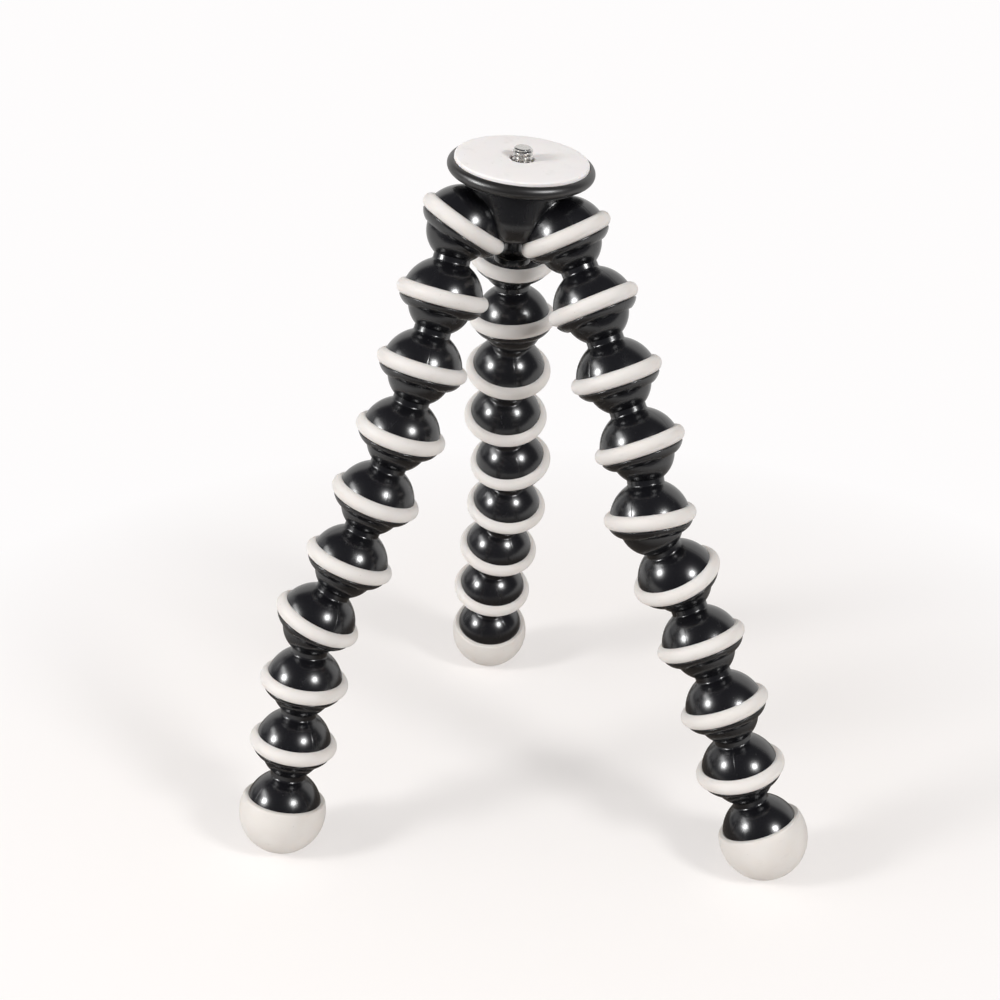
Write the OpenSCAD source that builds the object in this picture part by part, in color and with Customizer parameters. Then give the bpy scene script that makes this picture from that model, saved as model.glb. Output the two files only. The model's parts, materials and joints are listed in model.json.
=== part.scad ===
// Flexible leg tripod for a camera: a hub with three legs of ball-and-socket links.
// Millimetres. The tripod stands on its three feet at z = 0, seen from the front along +Y.
// Every link hangs from the one above: its ball sits in the upper link's socket.

/* [Links] */
// Radius of the ball on top of each link
ball_r = 10.4; // [9.4:0.1:11.4]
// Gap between a ball and its socket
ball_gap = 0.1; // [0.05:0.05:0.2]
// Thickness of a link's dome over the socket
dome_wall = 2.65; // [2.4:0.05:3.2]
// Height of the dome's centre above the socket's centre
dome_up = 1.5; // [1:0.1:2]
// Radius of the neck between a ball and its dome
neck_r = 6; // [4.5:0.25:6.5]
// Straight length of the neck
neck_len = 0.9; // [0.6:0.1:4]
// Fillet where the neck runs out into the dome
neck_fillet = 1.6; // [0.8:0.1:2.5]

/* [Socket mouth] */
// Depth of the socket's mouth below the ball's centre
lip_depth = 3; // [2.4:0.1:3.4]
// Distance the lip stands out under its grip ring
lip_out = 1.4; // [0.8:0.1:1.8]
// Width of the flat edge around the mouth
mouth_edge = 0.7; // [0.5:0.1:1.2]
// Radius of the lip's rounded side
lip_round = 6; // [4:0.5:12]

/* [Grip rings] */
// Height of a grip ring
ring_h = 5.1; // [4.5:0.1:5.8]
// Thickness of a grip ring from its seat outwards
ring_t = 2.8; // [2.4:0.1:3.4]
// Wall left between a ring's seat and the socket
seat_wall = 1.7; // [1.2:0.1:2]

/* [Feet] */
// Radius of a foot's round boot
boot_r = 14.95; // [14.4:0.05:17]
// Thickness of the boot's sole
boot_wall = 2.75; // [2:0.05:3.4]
// Rounding of the boot's upper rim
boot_rim = 0.8; // [0.4:0.1:1]
// Gap between the boot and its core
boot_gap = 0.05; // [0.02:0.01:0.1]

/* [Hub] */
// Lean of each shoulder socket outwards from the hub's axis, in degrees
shoulder_lean = 34; // [30:1:40]
// Free width between neighbouring shoulder rings
shoulder_gap = 5.5; // [4.5:0.5:9]
// Height of the hub's top above the tops of the shoulder domes
hub_rise = 2.2; // [1.5:0.1:5]
// Radius of the flange on top of the hub
flange_r = 22; // [21:0.5:23]
// Thickness of that flange
flange_t = 0.6; // [0.4:0.1:2]
// Radius of the hub's barrel under the flange
barrel_r = 17.2; // [16.5:0.1:18]
// Rounding where the barrel turns into the hub's bowl
bowl_r = 10.5; // [9:0.5:11.5]
// Height of that rounding's centre above the shoulder rings
bowl_z = 5; // [4:0.5:6]
// Depth of the hub's bottom below the shoulder rings
hub_depth = 14.5; // [12.5:0.5:16]
// Gap between the hub's waist and the shoulder rings
waist_gap = 1.2; // [0.5:0.1:1.8]
// Height of the bead around the hub's bottom edge
bead_h = 2.4; // [1.6:0.1:3]
// Distance the bead stands out from the waist
bead_out = 1.3; // [0.4:0.1:1.6]
// Chamfer on both edges of the bead
bead_cut = 0.4; // [0.2:0.1:0.6]
// Open seam between the hub and each shoulder dome
seam = 0.15; // [0.1:0.05:0.3]
// Radius of the peg that holds a shoulder socket in the hub
peg_r = 2.8; // [2:0.1:3]
// Length of that peg
peg_len = 2; // [1:0.1:2.4]

/* [Camera platform] */
// Radius of the locking disc
disc_r = 23.5; // [22:0.5:27]
// Thickness of the locking disc
disc_h = 4.2; // [3.6:0.1:6]
// Running gap under the locking disc
disc_gap = 0.3; // [0.2:0.05:0.5]
// Width of the disc's black rim around the pad
rim_w = 2.1; // [1.5:0.1:3]
// Thickness of the rubber pad
pad_t = 2; // [1.6:0.1:2.6]
// Distance the pad stands above the disc's rim
pad_proud = 1; // [0.5:0.1:1.2]
// Rounding of the pad's upper edge
pad_round = 0.5; // [0.2:0.1:0.8]
// Radius of the hole in the pad around the stud
pad_hole_r = 3.8; // [3.6:0.1:6]
// Outer radius of the quarter inch camera thread
stud_r = 3.175; // [3.175:0.001:3.176]
// Length of the stud above the pad
stud_out = 3.7; // [3:0.1:5.5]
// Chamfer at the stud's tip
stud_tip = 0.7; // [0.4:0.1:1]
// Radius of the stud's plain shank below the thread
shank_r = 2.9; // [2.6:0.1:3.1]
// Height of the thread's start above the pad
thread_up = 0.1; // [0:0.1:0.5]
// Radius of the stud's base in the hub
base_r = 4.5; // [4:0.1:5]
// Length of the stud's base in the hub
base_len = 8; // [6:0.5:10]
// Gap between the stud and the disc that turns on it
stud_gap = 0.2; // [0.1:0.05:0.4]
// Gap of the pegs, pad and stud base in their seats
seat_gap = 0.05; // [0.02:0.01:0.1]

/* [Pose] */
// Lean of the hub to the right, in degrees
hub_right = 6; // [-10:1:10]
// Lean of the hub to the front, in degrees
hub_front = 6; // [-10:1:10]
// Turn of the hub about its axis, in degrees
hub_spin = -3; // [-10:1:10]

/* [Hidden] */
$fn = 96;

// Lean of each link and the foot from upright, shoulder first: to the right and to the back, in degrees.
left_lean = [
    [-16, -14], [-18, -13], [-19, -6], [-23, -6], [-24, -10], [-30, -7], [-12, -4], [-12, -6], [-11, -9]
];
right_lean = [
    [22, -20], [18, -16], [19, -18], [7, -15], [25, 1], [20, -17], [20, -15], [14, -5], [19, -12]
];
back_lean = [
    [-6, 18], [0, 5], [-5, 22], [-3, 24], [5, 22], [-6, 20], [-9, 20], [-7, 20], [-3, 20]
];
LEGS = ["left", "right", "back"];
lean = [left_lean, right_lean, back_lean];
azimuth = [210, 330, 90];
legs = [0 : 2];
links = len(left_lean) - 1;

black = "#17181a";
rubber = "#dad6d0";
steel = "#b9babd";

// Sizes of one joint, with the socket's centre at height 0
socket_r = ball_r + ball_gap;
dome_r = socket_r + dome_wall;
seat_r = socket_r + seat_wall;
ring_r = seat_r + ring_t;
ring_round = ring_h / 2;
mouth_r = sqrt(socket_r * socket_r - lip_depth * lip_depth);
lip_top_r = seat_r + lip_out;
lip_end_r = mouth_r + mouth_edge;

// Centre of the lip's round side, which runs from the ring's seat to the mouth
lip_chord = norm([lip_top_r - lip_end_r, lip_depth]);
lip_reach = sqrt(lip_round * lip_round - lip_chord * lip_chord / 4);
lip_centre = [
    (lip_top_r + lip_end_r) / 2 - lip_reach * lip_depth / lip_chord,
    -lip_depth / 2 + lip_reach * (lip_top_r - lip_end_r) / lip_chord
];

// Height of the neck's fillet above the dome's centre, and the distance from joint to joint
fillet_up = sqrt(pow(dome_r + neck_fillet, 2) - pow(neck_r + neck_fillet, 2));
ball_drop = sqrt(ball_r * ball_r - neck_r * neck_r);
pitch = ball_drop + neck_len + fillet_up + dome_up;

// Sizes of a foot
core_r = boot_r - boot_wall;
rim_in = boot_r - boot_rim;
rim_z = ring_h - boot_rim;
rim_x = sqrt(rim_in * rim_in - rim_z * rim_z);

// Sizes of the hub, with the shoulder ring centres at height 0
tube_r = ring_r - ring_round;
ring_side = tube_r * norm([sin(60) * cos(shoulder_lean), cos(60)]) + ring_round;
shoulder_r = (ring_side + shoulder_gap / 2) / sin(60);
shoulder_out = [sin(shoulder_lean), -cos(shoulder_lean)];
socket_at = [shoulder_r, 0] + ring_round * shoulder_out;
dome_at = socket_at - dome_up * shoulder_out;
hub_top = dome_at[1] + dome_r + hub_rise;
waist_r = shoulder_r - tube_r * cos(shoulder_lean) - ring_round - waist_gap;

// Heights on the camera platform
disc_z = hub_top + disc_gap;
disc_top = disc_z + disc_h;
pad_top = disc_top + pad_proud;
pad_r = disc_r - rim_w;
stud_top = pad_top + stud_out;

// The hub's turn, and the way each shoulder socket and each link points
function turn_x(a) = [[1, 0, 0], [0, cos(a), -sin(a)], [0, sin(a), cos(a)]];
function turn_y(a) = [[cos(a), 0, sin(a)], [0, 1, 0], [-sin(a), 0, cos(a)]];
function turn_z(a) = [[cos(a), -sin(a), 0], [sin(a), cos(a), 0], [0, 0, 1]];
function unit(v) = v / norm(v);
function round_hub(k, p) = [p[0] * cos(azimuth[k]), p[0] * sin(azimuth[k]), p[1]];
hub_turn = turn_y(hub_right) * turn_x(hub_front) * turn_z(hub_spin);
function hanging(a) = unit([tan(a[0]), tan(a[1]), -1]);

// Ball centres of one leg from joint i at point p down to its foot, measured from the hub
function chain(k, i, p) =
    i > links ? [p] : concat([p], chain(k, i + 1, p + pitch * hanging(lean[k][i])));
loose = [for (k = legs) chain(k, 0, hub_turn * round_hub(k, socket_at))];
loose_feet = [for (k = legs) loose[k][links + 1]];

// Turn and shift that set the three feet level on the ground around the origin
feet_up = unit(cross(loose_feet[1] - loose_feet[0], loose_feet[2] - loose_feet[0]));
tip = cross(feet_up, [0, 0, 1]);
tip_matrix = [[0, -tip[2], tip[1]], [tip[2], 0, -tip[0]], [-tip[1], tip[0], 0]];
level = turn_z(0) + tip_matrix + tip_matrix * tip_matrix / (1 + feet_up[2]);
level_feet = [for (f = loose_feet) level * f];
feet_x = [for (f = level_feet) f[0]];
feet_y = [for (f = level_feet) f[1]];
shift = [-(min(feet_x) + max(feet_x)) / 2, -(min(feet_y) + max(feet_y)) / 2, boot_r - level_feet[0][2]];
function stand(p) = level * p + shift;

joints = [for (k = legs) [for (p = loose[k]) stand(p)]];
hub_stand = level * hub_turn;
function link_axis(k, i) = unit(joints[k][i + 1] - joints[k][i]);

// Place children by a turn and a point
module place(m, p) {
    multmatrix([for (r = [0 : 2]) [m[r][0], m[r][1], m[r][2], p[r]]])
        children();
}

// Place children drawn downwards so that they start at a point and run along a direction
module hang(p, direction) {
    side = unit(cross(direction, [0, 1, 0]));
    across = cross(side, direction);
    m = [for (r = [0 : 2]) [side[r], across[r], -direction[r]]];
    place(m, p)
        children();
}

module on_hub() {
    place(hub_stand, shift)
        children();
}

// Turn an outline about the upright axis, keeping only its right half
module turned() {
    reach = 4 * boot_r;
    rotate_extrude()
        intersection() {
            children();
            translate([0, -reach])
                square([reach, 2 * reach]);
        }
}

// A flat bar of an outline, from the axis to a radius and between two heights
module bar(r, low, high) {
    translate([0, low])
        square([r, high - low]);
}

// Outline of a ball with its neck, filleted into the dome that is cut off above the socket
module ball_and_dome(cut) {
    dome_z = dome_up - pitch;
    fillet_at = [neck_r + neck_fillet, dome_z + fillet_up];
    circle(ball_r);
    bar(neck_r, dome_z, 0);
    difference() {
        bar(fillet_at[0] * dome_r / (dome_r + neck_fillet), dome_z, fillet_at[1]);
        translate(fillet_at)
            circle(neck_fillet);
    }
    translate([0, -pitch])
        dome(cut);
}

// Outline of a dome above a socket's centre
module dome(cut) {
    intersection() {
        translate([0, dome_up])
            circle(dome_r);
        bar(dome_r, cut, 2 * dome_r);
    }
}

// Outline of a socket's rim: the ring's seat, which runs up into the dome, and the lip under it
module socket_rim() {
    bar(seat_r, -lip_depth / 4, ring_h);
    bar(socket_r, 0, ring_h + dome_up);
    intersection() {
        translate(lip_centre)
            circle(lip_round);
        bar(lip_top_r, -lip_depth, 0);
    }
    bar(lip_end_r, -lip_depth, 0);
}

// Outline of a grip ring, round on its outer side
module ring_outline() {
    difference() {
        union() {
            translate([tube_r, ring_round])
                circle(ring_round);
            bar(tube_r, 0, ring_h);
        }
        bar(seat_r, -ring_h, 2 * ring_h);
    }
}

// One link: ball, neck, dome and socket
module link(k, i) {
    color(black)
        hang(joints[k][i], link_axis(k, i))
            turned()
                difference() {
                    union() {
                        ball_and_dome(ring_h);
                        translate([0, -pitch])
                            socket_rim();
                    }
                    translate([0, -pitch])
                        circle(socket_r);
                }
}

// The rubber grip ring around a link's socket
module grip_ring(k, i) {
    color(rubber)
        hang(joints[k][i + 1], link_axis(k, i))
            turned()
                ring_outline();
}

// The hard core of a foot: ball, neck and dome over a round plug
module foot_core(k) {
    color(black)
        hang(joints[k][links], link_axis(k, links))
            turned() {
                ball_and_dome(ring_h);
                translate([0, -pitch])
                    intersection() {
                        circle(core_r);
                        bar(core_r, -core_r, ring_h + dome_up);
                    }
            }
}

// The round rubber boot over a foot's core
module foot_boot(k) {
    lift = boot_r / rim_in;
    color(rubber)
        hang(joints[k][links + 1], link_axis(k, links))
            turned()
                difference() {
                    union() {
                        intersection() {
                            circle(boot_r);
                            bar(boot_r, -boot_r, rim_z * lift);
                        }
                        translate([rim_x, rim_z])
                            circle(boot_rim);
                        bar(rim_x, 0, ring_h);
                    }
                    circle(core_r + boot_gap);
                    bar(2 * boot_r, ring_h, 2 * boot_r);
                }
}

// Draw children at each shoulder, pointing outwards, with the socket's centre at the origin
module at_shoulders() {
    on_hub()
        for (a = azimuth)
            rotate(a)
                translate([socket_at[0], 0, socket_at[1]])
                    rotate([0, -shoulder_lean, 0])
                        children();
}

// The three shoulder sockets, each a dome with a peg into the hub
module shoulder_sockets() {
    color(black)
        at_shoulders()
            turned()
                difference() {
                    union() {
                        dome(ring_h);
                        bar(peg_r, dome_up, dome_up + dome_r + peg_len);
                        socket_rim();
                    }
                    circle(socket_r);
                }
}

// The grip rings of the shoulder sockets
module shoulder_rings() {
    color(rubber)
        at_shoulders()
            turned()
                ring_outline();
}

// Outline of the hub before the shoulders are cut: flange, barrel, bowl, waist and a bead at the bottom
module hub_outline() {
    flange_z = hub_top - flange_t;
    bowl_end = bowl_z - bowl_r;
    bead_r = waist_r + bead_out;
    bead_z = bead_h - hub_depth;
    difference() {
        polygon([
            [0, hub_top],
            [flange_r, hub_top],
            [flange_r, flange_z],
            [barrel_r, flange_z],
            [barrel_r, bowl_end],
            [waist_r, bowl_end],
            [waist_r, bead_z],
            [bead_r - bead_cut, bead_z],
            [bead_r, bead_z - bead_cut],
            [bead_r, bead_cut - hub_depth],
            [bead_r - bead_cut, -hub_depth],
            [0, -hub_depth]
        ]);
        bowl_corner();
        bar(base_r + seat_gap, hub_top - base_len - seat_gap, 2 * hub_top);
    }
}

// Outline of what is cut off the hub's lower corner, outside the bowl's rounding
module bowl_corner() {
    translate([barrel_r - bowl_r, bowl_z])
        difference() {
            translate([0, -bowl_r])
                square([2 * bowl_r, bowl_r]);
            circle(bowl_r);
        }
}

// The hub: the moulded core that the shoulder sockets and the stud sit in
module hub_body() {
    color(black)
        difference() {
            on_hub()
                turned()
                    hub_outline();
            at_shoulders() {
                translate([0, 0, dome_up])
                    rotate([90, 0, 0])
                        sphere(dome_r + seam);
                cylinder(r = peg_r + seat_gap, h = dome_up + dome_r + peg_len + seat_gap);
                translate([0, 0, -4 * ring_h])
                    cylinder(r = ring_r + seam, h = 5 * ring_h + seam);
            }
        }
}

// The camera stud, with its base set in the hub
module camera_stud() {
    color(steel)
        on_hub()
            turned()
                polygon([
                    [0, hub_top - base_len],
                    [base_r, hub_top - base_len],
                    [base_r, hub_top],
                    [shank_r, hub_top],
                    [shank_r, pad_top + thread_up],
                    [stud_r, pad_top + thread_up],
                    [stud_r, stud_top - stud_tip],
                    [stud_r - stud_tip, stud_top],
                    [0, stud_top]
                ]);
}

// The round locking disc that turns on the stud under the camera
module locking_disc() {
    color(black)
        on_hub()
            translate([0, 0, disc_z])
                turned()
                    difference() {
                        union() {
                            translate([disc_r - disc_h / 2, disc_h / 2])
                                circle(disc_h / 2);
                            bar(disc_r - disc_h / 2, 0, disc_h);
                        }
                        bar(pad_r + seat_gap, disc_h + pad_proud - pad_t, 2 * disc_h);
                        bar(stud_r + stud_gap, -disc_h, 2 * disc_h);
                    }
}

// The rubber pad that the camera rests on
module disc_pad() {
    color(rubber)
        on_hub()
            translate([0, 0, pad_top - pad_t])
                turned()
                    difference() {
                        union() {
                            bar(pad_r, 0, pad_t - pad_round);
                            bar(pad_r - pad_round, 0, pad_t);
                            translate([pad_r - pad_round, pad_t - pad_round])
                                circle(pad_round);
                        }
                        bar(pad_hole_r, -pad_t, 2 * pad_t);
                    }
}

hub_body();
shoulder_sockets();
shoulder_rings();
camera_stud();
locking_disc();
disc_pad();
for (k = legs) {
    for (i = [1 : links]) {
        link(k, i - 1);
        grip_ring(k, i - 1);
    }
    foot_core(k);
    foot_boot(k);
}
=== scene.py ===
# %% [markdown]
# A flexible leg tripod
#
# The object is a small camera tripod. Each leg is a chain of moulded links: a ball on top, a neck, a
# dome, and a socket below that snaps over the next link's ball. A rubber ring sits around every
# socket, a round rubber boot ends each leg, and a hub with a padded disc and a camera screw joins
# the three legs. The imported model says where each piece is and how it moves. This script builds the
# pieces again with fine shapes and finishes, in the same places, and lights them as in a studio.

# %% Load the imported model
import json
import math

import bmesh
import bpy
from mathutils import Matrix, Vector


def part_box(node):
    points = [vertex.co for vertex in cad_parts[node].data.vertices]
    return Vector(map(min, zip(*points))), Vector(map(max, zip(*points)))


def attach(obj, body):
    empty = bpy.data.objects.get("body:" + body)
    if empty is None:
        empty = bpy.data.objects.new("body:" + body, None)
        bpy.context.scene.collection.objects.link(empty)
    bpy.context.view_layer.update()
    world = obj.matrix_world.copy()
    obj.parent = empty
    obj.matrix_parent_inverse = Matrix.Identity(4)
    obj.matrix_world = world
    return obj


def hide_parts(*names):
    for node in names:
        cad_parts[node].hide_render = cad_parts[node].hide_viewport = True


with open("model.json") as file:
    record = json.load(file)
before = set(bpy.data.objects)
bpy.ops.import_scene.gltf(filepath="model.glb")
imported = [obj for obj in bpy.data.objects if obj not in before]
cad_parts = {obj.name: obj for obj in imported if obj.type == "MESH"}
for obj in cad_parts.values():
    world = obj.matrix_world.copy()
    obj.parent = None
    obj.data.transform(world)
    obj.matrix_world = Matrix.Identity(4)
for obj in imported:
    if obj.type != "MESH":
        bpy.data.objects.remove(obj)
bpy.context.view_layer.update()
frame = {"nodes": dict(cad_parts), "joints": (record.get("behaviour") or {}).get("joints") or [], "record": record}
scene = bpy.context.scene

# %% [markdown]
# Where the joints are
#
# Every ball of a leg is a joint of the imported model, so its centre can be read from there. Only the
# middle of a boot has no joint. It lies one boot radius above the boot's lowest point, in the middle
# of its box. Reading these places is better than writing them again, because then they cannot differ.

# %% Read the ball centres and the hub's axis
MM = 0.001
LEGS = ("left", "right", "back")
LINKS = 8
boot_r = 14.95 * MM
shoulder_lean = math.radians(34)

joints = {j["name"]: j for j in frame["joints"]}


def ball_centre(leg, number):
    return Vector(joints[f"{leg}_ball_{number}"]["pos_m"])


def boot_centre(leg):
    low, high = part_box(f"{leg}_foot_boot")
    middle = (low + high) / 2
    return Vector((middle.x, middle.y, low.z + boot_r))


balls = {}
for leg in LEGS:
    balls[leg] = [ball_centre(leg, i) for i in range(1, LINKS + 2)] + [boot_centre(leg)]

hub_up = Vector(joints["disc_turn"]["axis"]).normalized()
disc_under = Vector(joints["disc_turn"]["pos_m"])
pitch = (balls["left"][1] - balls["left"][0]).length


def shoulder_up(leg):
    """The way a shoulder socket's axis points, from its mouth up into the hub."""
    arm = balls[leg][0] - disc_under
    outwards = (arm - arm.dot(hub_up) * hub_up).normalized()
    return math.cos(shoulder_lean) * hub_up - math.sin(shoulder_lean) * outwards


print("one link is", round(pitch / MM, 2), "mm from ball to ball")

# %% [markdown]
# Nodes written as expressions
#
# Both the shapes and the finishes below are node trees. Adding nodes one by one makes long code that
# hides the sums. So one small class wraps an output socket: arithmetic on it adds Math nodes, and one
# method adds any other node from its type, its settings and what goes into its sockets.

# %% The class that wraps a socket


class Wire:
    """An output socket of a node tree, to use in Python expressions."""

    def __init__(self, socket):
        self.socket = socket
        self.tree = socket.id_data

    def __getitem__(self, name):
        """Another output of the same node."""
        return Wire(self.socket.node.outputs[name])

    @staticmethod
    def put(tree, socket, value):
        """Give a socket a value, a link, or a list of links."""
        if isinstance(value, Wire):
            tree.links.new(value.socket, socket)
        elif isinstance(value, list):
            for wire in value:
                tree.links.new(wire.socket, socket)
        else:
            socket.default_value = value

    @staticmethod
    def node(tree, kind, settings=None, values=None):
        """Add a node: first its settings, then the values or links of its sockets."""
        made = tree.nodes.new(kind)
        for name, value in (settings or {}).items():
            setattr(made, name, value)
        for key, value in (values or {}).items():
            shown = [s for s in made.inputs if s.enabled]
            socket = made.inputs[key] if isinstance(key, int) else next(s for s in shown if s.name == key)
            Wire.put(tree, socket, value)
        return Wire(next(s for s in made.outputs if s.enabled))

    def maths(self, operation, *others):
        """A Math node with this wire as its first value."""
        values = dict(enumerate((self, *others)))
        return Wire.node(self.tree, "ShaderNodeMath", {"operation": operation}, values)

    def __add__(self, other):
        return self.maths("ADD", other)

    def __sub__(self, other):
        return self.maths("SUBTRACT", other)

    def __rsub__(self, other):
        return self.maths("MULTIPLY", -1).maths("ADD", other)

    def __mul__(self, other):
        return self.maths("MULTIPLY", other)

    def __truediv__(self, other):
        return self.maths("DIVIDE", other)

    def __pow__(self, power):
        return self.maths("POWER", power)

    def __neg__(self):
        return self.maths("MULTIPLY", -1)

    __radd__ = __add__
    __rmul__ = __mul__


def root(wire):
    return wire.maths("SQRT")


def vector(x, y, z=0.0):
    """Three values or wires as one vector wire."""
    tree = next(v.tree for v in (x, y, z) if isinstance(v, Wire))
    return Wire.node(tree, "ShaderNodeCombineXYZ", None, {0: x, 1: y, 2: z})


print("wires can be added, subtracted, multiplied, divided and raised")

# %% [markdown]
# Turning an outline on a lathe
#
# Links, rings, feet and shoulder sockets are all turned shapes: an outline that runs once round an
# axis. A Screw modifier could turn a drawn outline, but then each size would be hidden in points. Here
# a Geometry Nodes tree draws the outline itself from arcs and lines, and its sizes are the tree's
# inputs. The stretches are joined, welded into one line and swept round a circle.

# %% Tools for a tree that turns an outline
SWEEP_R = 10 * MM
WELD = 0.001 * MM
COLUMNS = 128
ARC_STEPS = 28
EDGE_STEPS = 5
FILLET_STEPS = 12
RIM_STEPS = 10
ROUND_STEPS = 8
SHARP = math.radians(32)
QUARTER = math.pi / 2
PLACES = {
    "Turn": "NodeSocketFloat",
    "Hung From": "NodeSocketVector",
    "Upwards": "NodeSocketVector",
    "Finish": "NodeSocketMaterial",
}


def new_tree(name, sizes):
    """An empty tree with an input for each size, and for the place and finish of a piece."""
    tree = bpy.data.node_groups.new(name, "GeometryNodeTree")
    tree.interface.new_socket("Geometry", in_out="OUTPUT", socket_type="NodeSocketGeometry")
    kinds = {**dict.fromkeys(sizes, "NodeSocketFloat"), **PLACES}
    for title, kind in kinds.items():
        tree.interface.new_socket(title, in_out="INPUT", socket_type=kind)
    entry = tree.nodes.new("NodeGroupInput")
    return tree, {s.name: Wire(s) for s in entry.outputs if s.name}


def arc(tree, centre, radius, start, sweep, steps=ARC_STEPS):
    values = {"Resolution": steps, "Radius": radius, "Start Angle": start, "Sweep Angle": sweep}
    curve = Wire.node(tree, "GeometryNodeCurveArc", {"mode": "RADIUS"}, values)
    move = Wire.node(tree, "ShaderNodeCombineXYZ", None, {0: centre[0], 1: centre[1]})
    return Wire.node(tree, "GeometryNodeTransform", None, {"Geometry": curve, "Translation": move})


def line(tree, start, end):
    values = {}
    for key, point in (("Start", start), ("End", end)):
        values[key] = Wire.node(tree, "ShaderNodeCombineXYZ", None, {0: point[0], 1: point[1]})
    return Wire.node(tree, "GeometryNodeCurvePrimitiveLine", {"mode": "POINTS"}, values)


def merged(tree, geometry):
    return Wire.node(tree, "GeometryNodeMergeByDistance", None, {"Geometry": geometry, "Distance": WELD})


def turned(tree, stretches):
    """Weld the stretches of an outline and sweep the line once round the upright axis."""
    joined = Wire.node(tree, "GeometryNodeJoinGeometry", None, {"Geometry": stretches})
    edges = Wire.node(tree, "GeometryNodeCurveToMesh", None, {"Curve": joined})
    outline = Wire.node(tree, "GeometryNodeMeshToCurve", None, {"Mesh": merged(tree, edges)})
    values = {"Geometry": outline, "Translation": (-SWEEP_R, 0, 0), "Scale": (1, -1, 1)}
    outline = Wire.node(tree, "GeometryNodeTransform", None, values)
    values = {"Resolution": COLUMNS, "Radius": SWEEP_R}
    circle = Wire.node(tree, "GeometryNodeCurvePrimitiveCircle", None, values)
    circle = Wire.node(tree, "GeometryNodeSetCurveNormal", {"mode": "Z_UP"}, {"Curve": circle})
    skin = Wire.node(tree, "GeometryNodeCurveToMesh", None, {"Curve": circle, "Profile Curve": outline})
    return merged(tree, skin)


print("an outline is swept in", COLUMNS, "columns")

# %% [markdown]
# The mould's parting line
#
# A link is pressed in a mould of two halves, and a fine ridge runs down both sides where the halves
# met. It is far thinner than a column of the sweep. Instead of more columns everywhere, the columns
# are drawn together at the two sides, and the points there are lifted along their normals.

# %% Tools that finish a turned shape
CROWD = 0.45


def crowded(tree, geometry):
    """Slide the columns towards the two sides where the parting line runs."""
    place = Wire.node(tree, "GeometryNodeInputPosition")
    split = Wire.node(tree, "ShaderNodeSeparateXYZ", None, {0: place})
    x, y, z = split["X"], split["Y"], split["Z"]
    angle = y.maths("ARCTAN2", x)
    angle = angle - CROWD * (2 * angle).maths("SINE")
    radius = root(x * x + y * y)
    moved = vector(radius * angle.maths("COSINE"), radius * angle.maths("SINE"), z)
    return Wire.node(tree, "GeometryNodeSetPosition", None, {"Geometry": geometry, "Position": moved})


def parted(tree, geometry, height, width):
    """Lift the parting line out of the surface."""
    place = Wire.node(tree, "GeometryNodeInputPosition")
    side = Wire.node(tree, "ShaderNodeSeparateXYZ", None, {0: place})["Y"]
    lift = height * (-(side / width) ** 2).maths("EXPONENT")
    normal = Wire.node(tree, "GeometryNodeInputNormal")
    step = Wire.node(tree, "ShaderNodeVectorMath", {"operation": "SCALE"}, {"Vector": normal, "Scale": lift})
    return Wire.node(tree, "GeometryNodeSetPosition", None, {"Geometry": geometry, "Offset": step})


def smoothed(tree, geometry):
    """Smooth faces, with the edges left sharp where the outline has a corner."""
    soft = Wire.node(tree, "GeometryNodeSetShadeSmooth", {"domain": "FACE"}, {"Geometry": geometry})
    bend = Wire.node(tree, "GeometryNodeInputMeshEdgeAngle")
    corner = Wire.node(tree, "FunctionNodeCompare", {"operation": "GREATER_THAN"}, {"A": bend, "B": SHARP})
    values = {"Geometry": soft, "Selection": corner, "Shade Smooth": False}
    return Wire.node(tree, "GeometryNodeSetShadeSmooth", {"domain": "EDGE"}, values)


def finished(tree, geometry, inputs):
    """Keep each point's own place for the finish, hang the shape in its place and give it its finish."""
    here = Wire.node(tree, "GeometryNodeInputPosition")
    keep = {"data_type": "FLOAT_VECTOR", "domain": "POINT"}
    values = {"Geometry": smoothed(tree, geometry), "Name": "own_place", "Value": here}
    kept = Wire.node(tree, "GeometryNodeStoreNamedAttribute", keep, values)
    spin = Wire.node(tree, "ShaderNodeCombineXYZ", None, {2: inputs["Turn"]})
    spin = Wire.node(tree, "FunctionNodeEulerToRotation", None, {0: spin})
    spun = Wire.node(tree, "GeometryNodeTransform", None, {"Geometry": kept, "Rotation": spin})
    aim = Wire.node(tree, "FunctionNodeAlignRotationToVector", {"axis": "Z"}, {"Vector": inputs["Upwards"]})
    values = {"Geometry": spun, "Translation": inputs["Hung From"], "Rotation": aim}
    hung = Wire.node(tree, "GeometryNodeTransform", None, values)
    whole = Wire.node(tree, "GeometryNodeRealizeInstances", None, {"Geometry": hung})
    values = {"Geometry": whole, "Material": inputs["Finish"]}
    dressed = Wire.node(tree, "GeometryNodeSetMaterial", None, values)
    exit_node = tree.nodes.new("NodeGroupOutput")
    tree.links.new(dressed.socket, exit_node.inputs[0])
    return tree


print("columns crowd by", CROWD, "at the parting line")

# %% [markdown]
# The link's tree
#
# From the top, a link's outline is the ball, the neck, a fillet, the dome down to the ring's seat, the
# lip with its rounded edges, and the socket inside. Every arc meets the next one where the two
# touch, so the end points come from right triangles between the circles' centres.

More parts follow.
